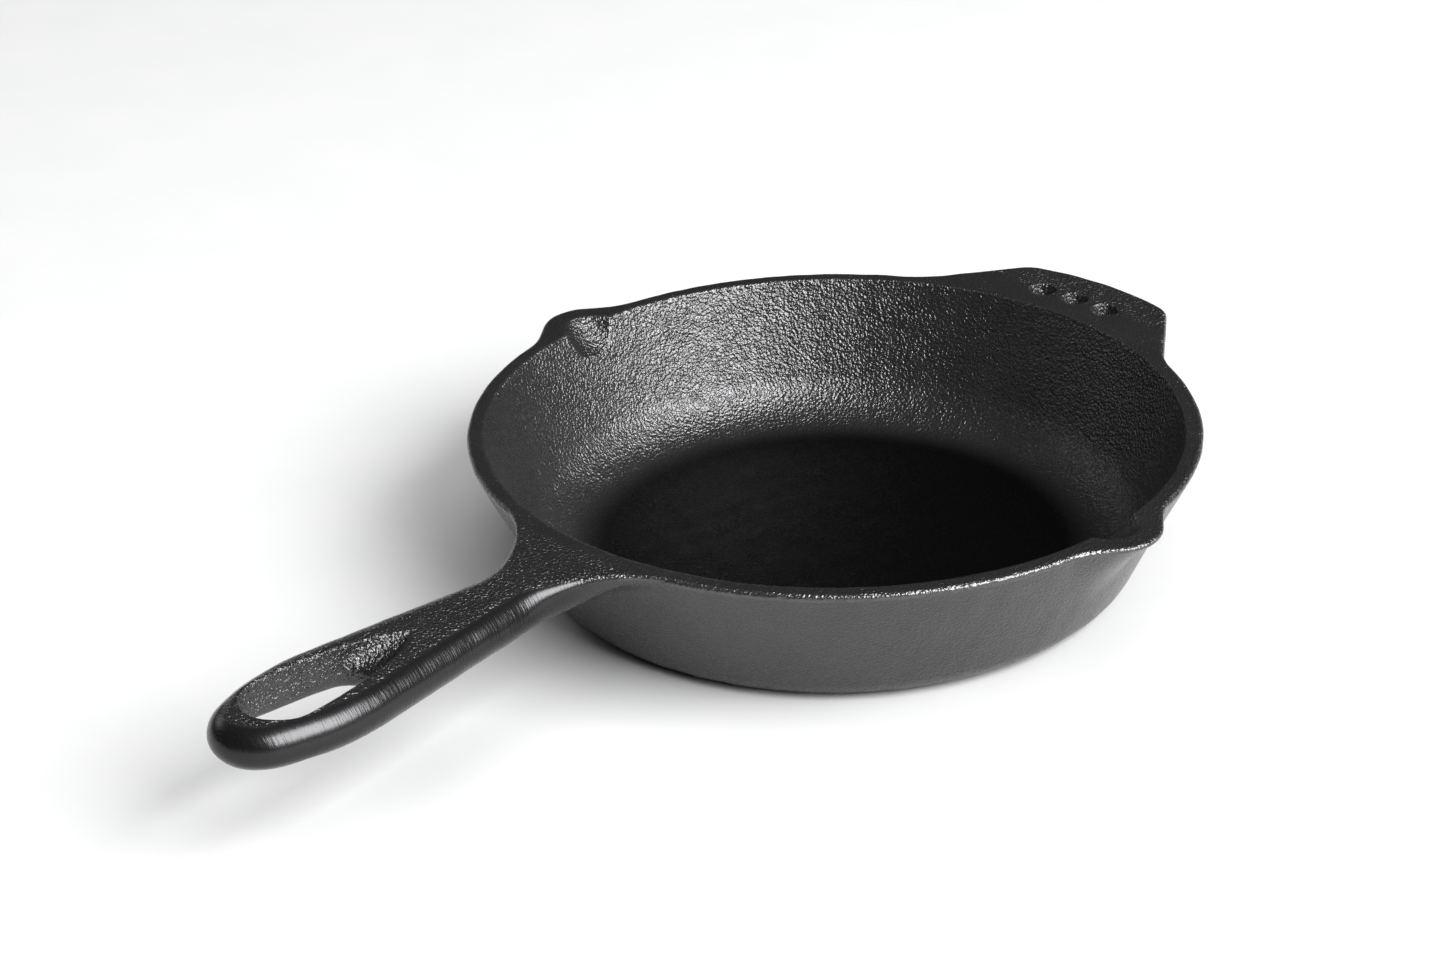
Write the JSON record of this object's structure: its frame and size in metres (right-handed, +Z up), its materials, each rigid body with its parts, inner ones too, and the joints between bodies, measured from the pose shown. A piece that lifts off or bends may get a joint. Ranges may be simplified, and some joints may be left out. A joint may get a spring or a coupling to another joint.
{
  "type": "cast iron skillet",
  "caption": "Round shallow frying pan cast in iron, with a sloping wall, flat rim, pour spouts, a long handle with a hanging loop and a broad assist handle.",
  "frame": {"origin": "centre of the flat resting face under the floor, on the bowl's axis", "axes": "+Z up along the bowl's axis, -Y along the long handle, +Y to the assist handle, pour spouts at +X and -X"},
  "size_m": [0.28, 0.4382, 0.0533],
  "materials": {
    "seasoned_iron_cooking": "seasoned, satin, smooth",
    "seasoned_iron": "seasoned, satin, sand-cast grain",
    "handle_iron": "seasoned, semi-gloss, ground on its rounded sides"
  },
  "bodies": {
    "root": {"cooking_floor": "seasoned_iron_cooking", "side_wall": "seasoned_iron", "pour_spout_left": "seasoned_iron", "pour_spout_right": "seasoned_iron", "handle_neck": "handle_iron", "handle_loop": "handle_iron", "assist_handle": "handle_iron"}
  },
  "joints": []
}
